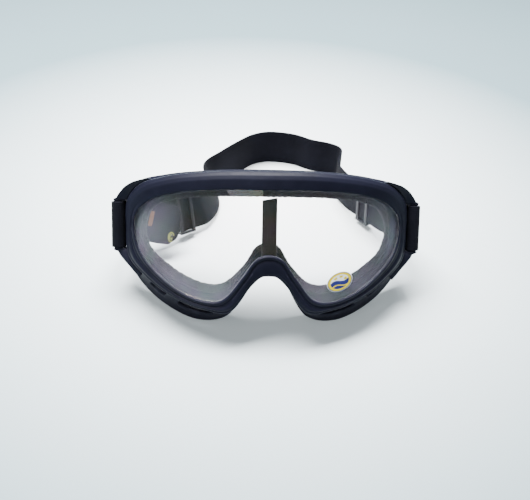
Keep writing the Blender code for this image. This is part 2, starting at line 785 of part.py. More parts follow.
def centre_on_table(root):
    """Shifts the root so the middle of the overall box stands over the origin."""
    bpy.context.view_layer.update()
    corners = []
    for found in bpy.data.objects:
        if found.type == "MESH" and not found.hide_render:
            corners.extend(found.matrix_world @ vertex.co for vertex in found.data.vertices)
    spread = np.array([tuple(corner) for corner in corners])
    middle = (spread.min(axis=0) + spread.max(axis=0)) / 2
    root.location = (-middle[0], -middle[1], 0.0)
    print("overall box in mm", np.round((spread.max(axis=0) - spread.min(axis=0)) / MM, 2))
    print("table shift in mm", np.round(middle / MM, 3))


def main():
    clear_scene()
    materials = make_materials()
    root = add_empty("goggles_root", None)
    rubber = materials["moulded_rubber"]
    build_lens(materials["lens_clear"], root)
    build_front_rim(rubber, root)
    build_lens_seat(rubber, root)
    build_skirt(rubber, root)
    build_face_flange(rubber, root)
    build_foams(materials["foam_dark"], root)
    build_centre_rib(rubber, root)
    build_sticker(materials["sticker_print"], root)
    for side in (-1, 1):
        build_anchor(side, rubber, root)
        build_loop(side, materials["webbing_black"], root)
    ear = on_table((0.0, EAR_DEPTH, EAR_HEIGHT))
    swing = (add_empty("strap_swing", root, tuple(ear)), (0.0, ear[1], ear[2]))
    print("ear axis in mm", np.round(ear, 3))
    build_strap(materials, swing)
    build_slider(-1, LEFT_STRETCH, LEFT_LEAN, materials["adjuster_plastic"], swing)
    build_slider(1, RIGHT_STRETCH, 0.0, materials["adjuster_plastic"], swing)
    centre_on_table(root)


main()
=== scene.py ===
"""The visual model of the motorcycle goggles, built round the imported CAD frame."""

import math

import bmesh
import bpy
import numpy as np
from mathutils import Matrix, Vector, noise


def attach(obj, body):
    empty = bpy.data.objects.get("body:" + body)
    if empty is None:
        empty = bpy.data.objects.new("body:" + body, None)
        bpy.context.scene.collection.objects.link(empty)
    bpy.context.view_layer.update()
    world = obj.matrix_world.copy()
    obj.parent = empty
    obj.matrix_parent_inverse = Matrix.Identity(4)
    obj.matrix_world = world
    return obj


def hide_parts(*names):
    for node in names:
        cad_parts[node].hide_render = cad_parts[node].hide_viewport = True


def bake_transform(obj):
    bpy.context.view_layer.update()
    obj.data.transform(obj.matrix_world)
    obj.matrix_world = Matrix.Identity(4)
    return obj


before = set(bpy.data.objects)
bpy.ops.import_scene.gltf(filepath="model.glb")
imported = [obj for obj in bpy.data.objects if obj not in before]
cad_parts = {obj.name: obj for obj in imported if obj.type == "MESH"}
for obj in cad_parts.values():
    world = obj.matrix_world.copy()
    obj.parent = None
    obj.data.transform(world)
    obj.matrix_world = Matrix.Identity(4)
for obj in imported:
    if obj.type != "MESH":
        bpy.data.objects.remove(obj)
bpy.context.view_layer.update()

MM = 0.001

# The part's own numbers, millimetres and degrees
TABLE_SHIFT = np.array((0.0, -82.267, 0.0))
FRONT_RADIUS = 125.0
FACE_RADIUS = 150.0
FACE_DEPTH = 25.0
LEAN = math.radians(32.0)
SEAT_HEIGHT = 55.5
LENS_SETBACK = 2.7
LENS_THICKNESS = 1.2
LENS_REACH = 0.30
RIM_DEPTH = 8.6
FIT_GAP = 0.3
FLANGE_THICKNESS = 2.2
WALL_FRONT = 4.2
WALL_REAR = 2.6
STICKER_CENTRE = (41.0, -19.0)
STICKER_HALF = (8.0, 5.5)
STICKER_TILT = math.radians(21.0)
STICKER_FACES = (-0.25, -0.05)
STICKER_CURL = 0.06
WEB_WIDTH = 27.5
WEB_THICKNESS = 1.4
WEB_STACK = 1.9
EAR_DEPTH = 39.0
EAR_HEIGHT = 9.6
UPRIGHT = np.array((0.0, 0.0, 1.0))

# Half ring from top centre to nose: lens opening, rim edge, flange edge, inner edge of the foam
RING_ROWS = (
    ((0.0, 32.8), (0.0, 43.2), (0.0, 43.9), (0.0, 28.0)),
    ((30.0, 32.5), (32.0, 42.6), (33.0, 43.0), (30.0, 27.7)),
    ((55.0, 29.8), (59.0, 39.3), (61.0, 40.0), (53.5, 25.6)),
    ((70.0, 24.6), (76.0, 33.6), (79.0, 35.0), (67.5, 21.0)),
    ((77.6, 16.5), (83.6, 25.0), (84.3, 26.4), (72.6, 13.0)),
    ((78.2, 5.0), (84.7, 8.0), (84.2, 8.0), (73.6, 4.0)),
    ((74.2, -6.0), (83.0, -8.5), (84.4, -12.0), (70.0, -6.0)),
    ((65.5, -15.6), (73.0, -18.8), (79.2, -23.4), (61.5, -13.2)),
    ((51.0, -25.6), (55.5, -29.8), (63.2, -37.4), (49.0, -20.8)),
    ((35.5, -30.4), (37.5, -35.6), (41.0, -46.2), (35.0, -25.2)),
    ((26.0, -29.0), (22.3, -36.6), (23.5, -42.8), (25.5, -24.0)),
    ((15.0, -16.0), (9.6, -20.8), (10.0, -22.0), (13.0, -11.8)),
    ((7.2, -5.6), (4.2, -16.0), (4.2, -16.2), (6.6, -1.6)),
    ((0.0, -3.3), (0.0, -15.4), (0.0, -15.4), (0.0, 0.5)),
)
FULL_TURN = 2 * (len(RING_ROWS) - 1)
RING_SAMPLES = 16
LENS_SAMPLES = 24

# Bezel section: share from lens opening to rim edge, millimetres further out, depth behind the front,
# and the extra depth of the same point along the brow and along the lower sides
BEZEL_FACE = (
    (0.0, 0.10, 2.30, 0.0, 0.0),
    (0.0, 0.00, 1.50, 0.0, 0.0),
    (0.0, 0.08, 0.75, 0.1, 0.0),
    (0.0, 0.42, 0.22, 0.3, 0.0),
    (0.0, 0.95, 0.00, 0.40, 0.0),
    (0.0, 1.50, 0.10, 0.30, 0.0),
    (0.0, 1.95, 0.50, -0.12, 0.0),
    (0.0, 2.30, 0.80, -0.42, 0.0),
    (0.0, 2.75, 0.72, -0.34, 0.1),
    (0.0, 3.40, 0.52, -0.12, 0.35),
    (0.45, 0.0, 0.42, 0.0, 0.50),
    (0.58, 0.0, 0.48, 0.0, 0.00),
    (0.68, 0.0, 0.60, 0.25, -0.2),
    (0.78, 0.0, 0.72, 0.55, 0.15),
    (1.0, -1.50, 0.95, 1.00, 0.55),
    (1.0, -0.95, 1.12, 1.30, 0.30),
    (1.0, -0.45, 1.50, 1.45, 0.10),
    (1.0, -0.12, 2.20, 1.30, 0.0),
    (1.0, 0.00, 3.40, 0.9, 0.0),
    (1.0, 0.00, 5.50, 0.0, 0.0),
    (1.0, 0.00, 7.60, 0.0, 0.0),
    (1.0, -0.18, 8.35, 0.0, 0.0),
    (1.0, -0.60, 8.60, 0.0, 0.0),
)
BEZEL_POCKET = ((0.84, 8.6), (0.84, 3.85), (0.36, 3.85), (0.36, 2.4))

TOP_VENTS = ((0.25, 0.52), (0.68, 0.95), (1.12, 1.42))
CHEEK_VENTS = ((7.35, 7.9), (8.3, 9.45))
TOP_VENT_SHARES = (0.25, 0.72)
CHEEK_VENT_SHARES = (0.30, 0.66)

# Strap centre line on the table: x, y, height of the middle, and outward lean in degrees
LEFT_BEND = (-78.8, 69.6, 25.0, 10.0)
RIGHT_BEND = (84.2, 73.6, 24.6, 0.0)
LEFT_STRETCH = ((-65.4, 77.2), (-43.2, 94.2))
RIGHT_STRETCH = ((78.6, 84.2), (62.6, 111.6))
STRETCH_HEIGHTS = (20.6, 16.9)
STRETCH_SHARES = (0.0, 0.06, 0.5, 0.94, 1.0)
LEFT_LEAN = 22.0
REAR_STATIONS = (
    (-38.1, 106.6, 15.2, 22.0),
    (-36.9, 121.2, 13.9, 22.0),
    (-38.5, 134.5, 13.3, 18.0),
    (-29.9, 148.3, 13.7, 8.0),
    (-17.2, 164.6, 13.75, 3.0),
    (-6.6, 175.5, 13.75, 0.0),
    (5.5, 179.9, 13.75, 0.0),
    (25.4, 176.8, 13.75, 0.0),
    (38.9, 168.9, 13.75, 0.0),
    (52.6, 164.0, 13.75, 0.0),
    (59.6, 158.2, 13.75, 0.0),
    (59.9, 151.3, 13.75, 0.0),
    (56.9, 142.5, 13.8, 0.0),
    (56.6, 130.3, 14.6, 0.0),
)
BAND_LINE = 87.8
BAND_BACKS = (20.0, 29.5, 33.0)
RETURN_PLACES = (2.02, 6.75)
TAIL_PLACES = (2.75, 4.4)
TAIL_DRIFT = 8.0
TAIL_SINK = 6.5
TAIL_LEAN = math.radians(35.0)
TAIL_GAP = 0.4
TAIL_CORNER = 9.0
LABEL_PLACES = (3.1, 3.25)
LABEL_SPAN = (-3.5, 7.5)
LABEL_OFFSETS = (0.8, 1.15)

# Webbing round the ear bar, from the outer layer to the inner one: x, and distance behind the bar
EAR_FOLD = (
    (90.0, 29.0),
    (90.3, 24.0),
    (90.8, 18.0),
    (91.6, 11.0),
    (92.8, 5.5),
    (93.2, 1.5),
    (92.9, -1.2),
    (91.7, -2.9),
    (89.6, -3.3),
    (87.6, -2.9),
    (86.4, -1.2),
    (86.1, 1.5),
    (86.1, 6.0),
    (86.5, 12.0),
    (87.3, 19.0),
    (87.75, 26.0),
)

HEADING_STEP = 0.12
WEB_STEP = 1.3
WEB_RIBS = 22
WEFT_PITCH = 0.62
RIB_HEIGHT = 0.05

# Radius of the softened edges on the moulded hardware, millimetres
ANCHOR_ROUNDING = 0.55
SLIDER_ROUNDING = 0.32
POST_ROUNDING = 0.45

# Foam: remeshing voxels, swelling pressure and its limit, and the height and size of the torn cells
PAD_VOXEL = 1.7
FILTER_VOXEL = 0.7
PAD_PRESSURE = 2.0
PAD_SWELL = 0.7
PAD_CELLS = (0.5, 1.3)
FILTER_CELLS = (0.12, 1.1)

# How far up the lower shoulder thins and how far its tip moves in, millimetres
TAPER_REACH = 13.0
TAPER_DEPTH = 3.0

# Embroidered mark on the loose end: distance from the end, height across it and half size, millimetres
MARK_INSET = 5.0
MARK_HEIGHT = -8.6
MARK_HALF = (1.7, 3.0)
MARK_LIFT = 0.12
MARK_TURN = 1.6 * math.pi
THREAD_HALF = (0.42, 0.25)

# Its loops: name, share of the full size, and starting angle
MARK_LOOPS = (("thread_mark_outer", 1.0, 0.3), ("thread_mark_inner", 0.5, 1.1))

# Camera: it looks down at the front of the lens from this far away
VIEW_TARGET = Vector((0.0, -78.03, 52.13)) * MM
VIEW_HEIGHT = math.radians(39.5)
VIEW_SIDE = math.radians(-3.5)
VIEW_DISTANCE = 380.0 * MM
VIEW_ROLL = math.radians(2.88)
VIEW_LENS = 45.97
VIEW_SHIFT = -0.0081

# Area lights: name, watts and place; all have one size and aim at one point, metres
LIGHT_SIZE = (0.7, 0.4)
LIGHT_TARGET = Vector((0.0, -0.03, 0.03))
LIGHTS = (("top", 62.0, (-0.10, 0.22, 0.80)), ("front", 1.6, (-0.30, -0.60, 0.60)))

SKY_COLOUR = (0.82, 0.89, 0.93, 1.0)
SKY_STRENGTH = 0.45

# Share of the painted reflection, a lavender diffuse veil on the lens, where it is strongest
PAINTED_REFLECTION_SHARE = 0.09

# Reach of the painted pool of light in the middle of the floor, metres
LIGHT_POOL_REACH = 0.31

# How far behind the origin the painted pool of light is brightest, and half the floor's side, metres
LIGHT_POOL_CENTRE = 0.045
FLOOR_HALF = 9.0

# Painted pool of light on the floor: colours from the pale middle outwards
FLOOR_LIGHT_POOL_COLOURS = ((0.0, (0.92, 0.92, 0.92)), (0.38, (0.60, 0.66, 0.68)), (1.0, (0.15, 0.225, 0.255)))


def mix(start, end, share):
    return start + (end - start) * share


def unit(vectors):
    return vectors / np.linalg.norm(vectors, axis=-1, keepdims=True)


def smoothstep(low, high, value):
    share = np.clip((value - low) / (high - low), 0.0, 1.0)
    return share * share * (3.0 - 2.0 * share)


def smooth_path(keys, places, closed):
    """Points on a centripetal curve through the keys, at fractional key numbers."""
    keys = np.asarray(keys, float)
    count = len(keys)
    if closed:
        padded = np.vstack([keys[-1:], keys, keys[:2]])
        places = np.mod(places, count)
    else:
        padded = np.vstack([2 * keys[0] - keys[1], keys, 2 * keys[-1] - keys[-2]])
        places = np.clip(places, 0, count - 1 - 1e-9)
    spans = np.floor(places).astype(int)
    share = (places - spans)[:, None]
    p0, p1, p2, p3 = (padded[spans + shift] for shift in range(4))
    t1 = np.sqrt(np.linalg.norm(p1 - p0, axis=1))[:, None]
    t2 = t1 + np.sqrt(np.linalg.norm(p2 - p1, axis=1))[:, None]
    t3 = t2 + np.sqrt(np.linalg.norm(p3 - p2, axis=1))[:, None]
    t = mix(t1, t2, share)
    a1 = mix(p0, p1, t / t1)
    a2 = mix(p1, p2, (t - t1) / (t2 - t1))
    a3 = mix(p2, p3, (t - t2) / (t3 - t2))
    b1 = mix(a1, a2, t / t2)
    b2 = mix(a2, a3, (t - t1) / (t3 - t1))
    return mix(b1, b2, (t - t1) / (t2 - t1))


class Ring:
    """The outlines of the frame at fractional key rows: 0 top, 13 nose, 26 top again."""

    def __init__(self, rows):
        right = np.array(RING_ROWS)
        left = right[-2:0:-1] * np.array([-1.0, 1.0])
        keys = np.vstack([right, left])
        outlines = [smooth_path(keys[:, kind], rows, closed=True) for kind in range(4)]
        self.opening, self.rim, self.flange, self.foam = outlines
        self.rows = np.minimum(np.mod(rows, FULL_TURN), FULL_TURN - np.mod(rows, FULL_TURN))

    def across(self, share, further=0.0):
        return mix(self.opening, self.rim, share) + unit(self.rim - self.opening) * further

    def inward(self, curve, distance):
        return curve + unit(self.foam - curve) * distance


def front_depth(curve):
    return FRONT_RADIUS - np.sqrt(FRONT_RADIUS**2 - curve[:, 0] ** 2)


def face_depth(curve):
    return FACE_DEPTH + FACE_RADIUS - np.sqrt(FACE_RADIUS**2 - curve[:, 0] ** 2)


def at_depth(curve, depth):
    return np.column_stack([curve[:, 0], depth, curve[:, 1]])


def behind_front(curve, setback):
    return at_depth(curve, front_depth(curve) + setback)


def on_table(points):
    """Leans points drawn in the frame's own axes back onto the table."""
    points = np.asarray(points, float)
    y = points[..., 1] * math.cos(LEAN) + points[..., 2] * math.sin(LEAN)
    z = points[..., 2] * math.cos(LEAN) - points[..., 1] * math.sin(LEAN) + SEAT_HEIGHT
    return np.stack([points[..., 0], y, z], axis=-1)


def to_row(points):
    """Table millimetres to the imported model's metres, never below the table."""
    points = np.asarray(points, float)
    points = np.column_stack([points[:, :2], np.maximum(points[:, 2], 0.0)])
    return (points + TABLE_SHIFT) * MM


def grid_faces(stations, corners, closed):
    """Quads of a tube whose sections have the same corners, with flat ends when it is open."""
    faces = []
    for station in range(stations if closed else stations - 1):
        after = (station + 1) % stations
        for corner in range(corners):
            beside = (corner + 1) % corners
            faces.append(
                (
                    station * corners + corner,
                    station * corners + beside,
                    after * corners + beside,
                    after * corners + corner,
                )
            )
    if not closed:
        last = (stations - 1) * corners
        faces.append(tuple(reversed(range(corners))))
        faces.append(tuple(range(last, last + corners)))
    return faces


def smooth_faces(mesh):
    mesh.polygons.foreach_set("use_smooth", [True] * len(mesh.polygons))


def link_mesh(name, mesh, material=None):
    made = bpy.data.objects.new(name, mesh)
    bpy.context.collection.objects.link(made)
    if material is not None:
        mesh.materials.clear()
        mesh.materials.append(material)
    smooth_faces(mesh)
    return made


def add_mesh(name, points, faces, material=None):
    """A smooth mesh object from table millimetres, with its normals facing out."""
    mesh = bpy.data.meshes.new(name)
    mesh.from_pydata(to_row(points).tolist(), [], faces)
    tidy = bmesh.new()
    tidy.from_mesh(mesh)
    bmesh.ops.recalc_face_normals(tidy, faces=tidy.faces)
    tidy.to_mesh(mesh)
    tidy.free()
    return link_mesh(name, mesh, material)


def loft(name, sections, material=None, closed=False):
    """A solid through matching section corners; each entry holds one corner at every station."""
    points = np.stack(sections, axis=1)
    stations, corners = points.shape[:2]
    return add_mesh(name, points.reshape(-1, 3), grid_faces(stations, corners, closed), material)


def apply_modifiers(made):
    """Bakes an object's modifiers into its mesh."""
    graph = bpy.context.evaluated_depsgraph_get()
    mesh = bpy.data.meshes.new_from_object(made.evaluated_get(graph))
    old = made.data
    made.modifiers.clear()
    made.data = mesh
    bpy.data.meshes.remove(old)


def finish_piece(made, body, slot, *nodes):
    """Says which body a piece moves with and which CAD nodes it stands for; the finish slot is not used."""
    if nodes:
        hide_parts(*nodes)
    if body is not None:
        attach(made, body)
    return made


def whole_ring(samples=RING_SAMPLES):
    return Ring(np.arange(FULL_TURN * samples) / samples)


# Moulded frame


def build_bezel(material):
    ring = whole_ring()
    brow = 1.0 - smoothstep(3.0, 4.6, ring.rows)
    lower = smoothstep(4.2, 6.0, ring.rows) * (1.0 - smoothstep(9.6, 10.8, ring.rows))
    keys = np.array(BEZEL_FACE)
    fine = smooth_path(keys, np.linspace(0, len(keys) - 1, 3 * len(keys)), closed=False)
    sections = []
    for share, further, depth, brow_extra, lower_extra in fine:
        setback = depth + brow_extra * brow + lower_extra * lower
        sections.append(on_table(behind_front(ring.across(share, further), setback)))
    for share, depth in BEZEL_POCKET:
        sections.append(on_table(behind_front(ring.across(share), depth)))
    bezel = loft("bezel", sections, material, closed=True)
    return finish_piece(bezel, "frame", "moulded_frame", "front_rim")


def wall_place(ring, share, inset):
    """A point of the side wall; share runs from the bezel (0) to the flange (1)."""
    share = np.broadcast_to(np.asarray(share, float), (len(ring.rim),))
    start = front_depth(ring.rim) + RIM_DEPTH + FIT_GAP
    end = face_depth(ring.flange) - FLANGE_THICKNESS
    curve = mix(ring.rim, ring.flange, share[:, None])
    return on_table(at_depth(ring.inward(curve, inset), mix(start, end, share)))


def flange_place(curve, ahead):
    return on_table(at_depth(curve, face_depth(curve) - ahead))


def vent_cutters():
    """Rounded slots through the side wall, as one mesh of separate blocks."""
    points = []
    faces = []
    turn = np.linspace(0.0, 2 * math.pi, 32, endpoint=False)
    squared = [np.sign(wave) * np.abs(wave) ** 0.45 for wave in (np.cos(turn), np.sin(turn))]
    for vents, shares in ((TOP_VENTS, TOP_VENT_SHARES), (CHEEK_VENTS, CHEEK_VENT_SHARES)):
        for start, end in vents:
            for low, high in ((start, end), (FULL_TURN - end, FULL_TURN - start)):
                rows = (low + high) / 2 + squared[0] * (high - low) / 2
                share = sum(shares) / 2 + squared[1] * (shares[1] - shares[0]) / 2
                ring = Ring(rows)
                base = len(points)
                points.extend(wall_place(ring, share, -4.0))
                points.extend(wall_place(ring, share, WALL_FRONT + 1.0))
                block = grid_faces(2, len(turn), closed=False)
                faces.extend(tuple(base + index for index in face) for face in block)
    return add_mesh("vent_cutters", points, faces)


def build_shell(material):
    """Lens seat, side wall and face flange, one moulding with the vent slots cut through it."""
    ring = whole_ring()
    seat = LENS_SETBACK + LENS_THICKNESS + FIT_GAP
    sections = [
        on_table(behind_front(ring.across(0.80), seat)),
        on_table(behind_front(ring.across(0.80), RIM_DEPTH + FIT_GAP)),
    ]
    outer = ((0.0, 0.6), (0.0, 0.15), (0.02, 0.0), (0.07, 0.0), (0.11, 0.25), (0.15, 0.85), (0.2, 1.1))
    outer += tuple((share, 1.1) for share in (0.3, 0.4, 0.5, 0.6, 0.7, 0.78))
    outer += ((0.84, 1.0), (0.9, 0.8), (0.95, 0.45), (0.985, 0.15))
    for share, inset in outer:
        sections.append(wall_place(ring, share, inset))
    for inset, ahead in ((0.0, 1.9), (-0.05, 1.1), (0.0, 0.45), (0.25, 0.12), (0.7, 0.0)):
        sections.append(flange_place(ring.inward(ring.flange, inset), ahead))
    inner = mix(ring.flange, ring.foam, 0.8)
    for inset, ahead in ((-0.5, 0.0), (-0.1, 0.3), (0.0, 1.1), (-0.1, 1.9), (-0.5, FLANGE_THICKNESS)):
        sections.append(flange_place(ring.inward(inner, inset), ahead))
    sections.append(wall_place(ring, 0.96, WALL_REAR + 0.6))
    for share in (0.9, 0.7, 0.5, 0.3, 0.12):
        sections.append(wall_place(ring, share, mix(WALL_FRONT, WALL_REAR, share)))
    sections.append(on_table(behind_front(ring.across(0.03), seat + 2.0)))
    sections.append(on_table(behind_front(ring.across(0.03), seat)))
    shell = loft("side_shell", sections, material, closed=True)
    cutters = vent_cutters()
    cut = shell.modifiers.new("vents", "BOOLEAN")
    cut.object = cutters
    cut.solver = "EXACT"
    apply_modifiers(shell)
    bpy.data.objects.remove(cutters, do_unlink=True)
    return finish_piece(shell, "frame", "moulded_frame", "lens_seat", "frame_skirt", "face_flange")


def rounded_node(name, new_name, radius):
    """A copy of a CAD node with its flat faces joined and its edges rounded."""
    made = link_mesh(new_name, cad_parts[name].data.copy())
    tidy = bmesh.new()
    tidy.from_mesh(made.data)
    bmesh.ops.remove_doubles(tidy, verts=tidy.verts, dist=1e-6)
    bmesh.ops.dissolve_limit(tidy, angle_limit=math.radians(1.0), verts=tidy.verts, edges=tidy.edges)
    sharp = [edge for edge in tidy.edges if edge.calc_face_angle(0.0) > math.radians(12.0)]
    bmesh.ops.bevel(
        tidy,
        geom=sharp,
        offset=radius * MM,
        segments=3,
        profile=0.5,
        affect="EDGES",
        clamp_overlap=True,
    )
    bmesh.ops.recalc_face_normals(tidy, faces=tidy.faces)
    tidy.to_mesh(made.data)
    tidy.free()
    smooth_faces(made.data)
    return made


def taper_end(made):
    """The lower shoulder thins into the side of the frame instead of ending square."""
    places = np.empty(len(made.data.vertices) * 3)
    made.data.vertices.foreach_get("co", places)
    points = places.reshape(-1, 3)
    low = points[:, 2].min()
    share = 1.0 - smoothstep(low, low + TAPER_REACH * MM, points[:, 2])
    points[:, 0] -= np.sign(points[:, 0]) * TAPER_DEPTH * MM * share
    made.data.vertices.foreach_set("co", points.ravel())


def build_hardware(materials):
    rubber = materials["rubber"]
    for side in ("left", "right"):
        anchor = rounded_node(f"strap_anchor_{side}", f"ear_bar_{side}", ANCHOR_ROUNDING)
        taper_end(anchor)
        paint(anchor, rubber)
        finish_piece(anchor, "frame", "moulded_frame", f"strap_anchor_{side}")
        slider = rounded_node(f"slider_{side}", f"adjuster_{side}", SLIDER_ROUNDING)
        paint(slider, materials["plastic"])
        finish_piece(slider, f"slider_{side}", "adjuster", f"slider_{side}")
    rib = rounded_node("centre_rib", "centre_post", POST_ROUNDING)
    paint(rib, materials["post"])
    finish_piece(rib, "frame", "moulded_frame", "centre_rib")


def paint(made, material):
    made.data.materials.clear()
    made.data.materials.append(material)


# Lens and sticker


def build_lens(material):
    ring = whole_ring(LENS_SAMPLES)
    edge = ring.across(LENS_REACH)
    half = FULL_TURN // 2 * LENS_SAMPLES
    right = edge[: half + 1]
    widest = int(np.argmax(right[:, 0]))
    top = right[: widest + 1]
    bottom = right[widest:][::-1]
    reach = right[widest, 0] - 0.02
    x = reach * np.sin(np.linspace(-math.pi / 2, math.pi / 2, 241))
    high = np.interp(np.abs(x), top[:, 0], top[:, 1])
    low = np.interp(np.abs(x), bottom[:, 0], bottom[:, 1])
    sections = []
    rows = np.linspace(0.0, 1.0, 25)
    for setback, shares in ((0.0, rows), (LENS_THICKNESS, rows[::-1])):
        for share in shares:
            curve = np.column_stack([x, mix(low, high, share)])
            sections.append(on_table(behind_front(curve, LENS_SETBACK + setback)))
    lens = loft("clear_lens", sections, material)
    return finish_piece(lens, "frame", "clear_lens", "lens")


def build_sticker(material):
    """A printed oval film; its UV map is centred and reaches one at the oval's edge."""
    turn = np.linspace(0.0, 2 * math.pi, 72, endpoint=False)
    points = []
    marks = []
    faces = []
    radii = np.linspace(0.0, 1.0, 13)[1:]
    for setback in STICKER_FACES:
        base = len(points)
        points.append((STICKER_CENTRE[0], setback, STICKER_CENTRE[1]))
        marks.append((0.5, 0.5))
        for radius in radii:
            lift = STICKER_CURL * smoothstep(0.9, 1.0, radius) if setback == STICKER_FACES[0] else 0.0
            for angle in turn:
                u, v = radius * math.cos(angle), radius * math.sin(angle)
                x, z = u * STICKER_HALF[0], v * STICKER_HALF[1]
                points.append(
                    (
                        STICKER_CENTRE[0] + x * math.cos(STICKER_TILT) - z * math.sin(STICKER_TILT),
                        setback + lift,
                        STICKER_CENTRE[1] + x * math.sin(STICKER_TILT) + z * math.cos(STICKER_TILT),
                    )
                )
                marks.append((0.5 + u / 2, 0.5 + v / 2))
        count = len(turn)
        for index in range(count):
            beside = (index + 1) % count
            faces.append((base, base + 1 + index, base + 1 + beside))
            for step in range(len(radii) - 1):
                near = base + 1 + step * count
                far = near + count
                faces.append((near + index, far + index, far + beside, near + beside))
    outer = 1 + (len(radii) - 1) * len(turn)
    back = len(points) // 2
    for index in range(len(turn)):
        beside = (index + 1) % len(turn)
        faces.append((outer + index, outer + beside, back + outer + beside, back + outer + index))
    points = np.array(points)
    curve = points[:, [0, 2]]
    placed = on_table(behind_front(curve, LENS_SETBACK + points[:, 1]))
    sticker = add_mesh("oval_sticker", placed, faces, material)
    write_uv(sticker, np.array(marks))
    return finish_piece(sticker, "frame", "sticker", "lens_sticker")


def write_uv(made, marks):
    layer = made.data.uv_layers.new(name="UVMap")
    corners = np.zeros(len(made.data.loops), dtype=np.int32)
    made.data.loops.foreach_get("vertex_index", corners)
    layer.data.foreach_set("uv", marks[corners].astype(np.float32).ravel())


# Foam


def remeshed(name, new_name, voxel):
    made = link_mesh(new_name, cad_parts[name].data.copy())
    remesh = made.modifiers.new("remesh", "REMESH")
    remesh.mode = "VOXEL"
    remesh.voxel_size = voxel * MM
    apply_modifiers(made)
    return made


def swell(made, pressure, cap):
    """Lets the foam bulge under its own pressure, then limits how far any point has moved."""
    before = np.array([tuple(vertex.co) for vertex in made.data.vertices])
    cloth = made.modifiers.new("cloth", "CLOTH")
    cloth.settings.use_pressure = True
    cloth.settings.uniform_pressure_force = pressure
    cloth.settings.effector_weights.gravity = 0.0
    cloth.settings.quality = 4
    cloth.point_cache.frame_start = 1
    cloth.point_cache.frame_end = 20
    scene = bpy.context.scene
    for step in range(1, 21):
        scene.frame_set(step)
    apply_modifiers(made)
    scene.frame_set(1)
    after = np.array([tuple(vertex.co) for vertex in made.data.vertices])
    move = after - before
    length = np.linalg.norm(move, axis=1, keepdims=True)
    move *= np.minimum(1.0, cap * MM / np.maximum(length, 1e-9))
    after = before + move
    after[:, 2] = np.maximum(after[:, 2], 0.0)
    made.data.vertices.foreach_set("co", after.astype(np.float32).ravel())


def roughen(made, height, size, seed):
    """Moves each point along its normal by a fine fractal noise, as torn foam cells do."""
    normals = [vertex.normal.copy() for vertex in made.data.vertices]
    offset = Vector((seed, 2.0 * seed, 3.0 * seed))
    for vertex, normal in zip(made.data.vertices, normals):
        wave = noise.fractal(vertex.co / (size * MM) + offset, 1.0, 2.0, 3)
        vertex.co = vertex.co + normal * (wave * height * MM)
        vertex.co.z = max(vertex.co.z, 0.0)


def build_foams(material):
    face = remeshed("face_foam", "face_pad", PAD_VOXEL)
    swell(face, PAD_PRESSURE, PAD_SWELL)
    face.modifiers.new("fine", "SUBSURF").levels = 1
    apply_modifiers(face)
    roughen(face, *PAD_CELLS, seed=1.0)
    paint(face, material)
    finish_piece(face, "frame", "foam", "face_foam")
    for node in ("brow_vent_foam", "cheek_vent_foam_left", "cheek_vent_foam_right"):
        strip = remeshed(node, node.replace("vent_foam", "filter"), FILTER_VOXEL)
        roughen(strip, *FILTER_CELLS, seed=5.0)
        paint(strip, material)
        finish_piece(strip, "frame", "foam", node)


# Webbing


def stretch_ends(stretch):
    return [np.append(point, height) for point, height in zip(stretch, STRETCH_HEIGHTS)]


def stretch_keys(stretch, lean):
    start, end = stretch_ends(stretch)
    return [(*mix(start, end, share), lean) for share in STRETCH_SHARES]


def strap_keys():
    """Centre line of the head strap from the left ear round the back to the right ear."""
    ear = on_table([(BAND_LINE, EAR_DEPTH + back, EAR_HEIGHT) for back in BAND_BACKS])
    left = [(-x, y, z, 0.0) for x, y, z in ear]
    left.append(LEFT_BEND)
    left.extend(stretch_keys(LEFT_STRETCH, LEFT_LEAN))
    right = stretch_keys(RIGHT_STRETCH, 0.0)[::-1]
    right.append(RIGHT_BEND)
    right.extend((x, y, z, 0.0) for x, y, z in ear[::-1])
    return np.array(left + list(REAR_STATIONS) + right)


STRAP_KEYS = strap_keys()
LAST_KEY = len(STRAP_KEYS) - 1


def strap_frame(places):
    """Middle, width direction and outward normal of the strap at fractional key numbers."""
    sampled = smooth_path(STRAP_KEYS, places, closed=False)
    ahead = smooth_path(STRAP_KEYS, np.minimum(places + HEADING_STEP, LAST_KEY), closed=False)
    behind = smooth_path(STRAP_KEYS, np.maximum(places - HEADING_STEP, 0), closed=False)
    heading = unit((ahead - behind)[:, :3])
    rise = unit(UPRIGHT - heading * (heading @ UPRIGHT)[:, None])
    outward = np.cross(rise, heading)
    lean = np.radians(sampled[:, 3])[:, None]
    width = rise * np.cos(lean) + outward * np.sin(lean)
    return sampled[:, :3], width, outward * np.cos(lean) - rise * np.sin(lean)


def ear_fold(side):
    """Middle and width direction of the webbing round one ear bar, outer layer first."""
    places = np.linspace(0, len(EAR_FOLD) - 1, 8 * len(EAR_FOLD))
    path = smooth_path(EAR_FOLD, places, closed=False)
    height = np.full(len(path), EAR_HEIGHT)
    middle = on_table(np.column_stack([side * path[:, 0], EAR_DEPTH + path[:, 1], height]))
    up = on_table(np.array([(0.0, 0.0, 1.0)])) - on_table(np.array([(0.0, 0.0, 0.0)]))
    return middle, np.repeat(up, len(middle), axis=0)


def strap_line():
    """The whole webbing as one ribbon: left return, left ear, round the back, right ear, right return."""
    start, end = RETURN_PLACES
    left = strap_frame(np.linspace(end, start, 90))
    back = strap_frame(np.linspace(start, LAST_KEY - start, 420))
    right = strap_frame(np.linspace(LAST_KEY - start, LAST_KEY - end, 90))
    left_ear = ear_fold(-1)
    right_ear = ear_fold(1)
    pieces = [
        (left[0] + left[2] * WEB_STACK, left[1]),
        left_ear,
        (back[0], back[1]),
        (right_ear[0][::-1], right_ear[1]),
        (right[0] + right[2] * WEB_STACK, right[1]),
    ]
    middle = np.vstack([piece[0] for piece in pieces])
    width = np.vstack([piece[1] for piece in pieces])
    return even_steps(middle, width, WEB_STEP)


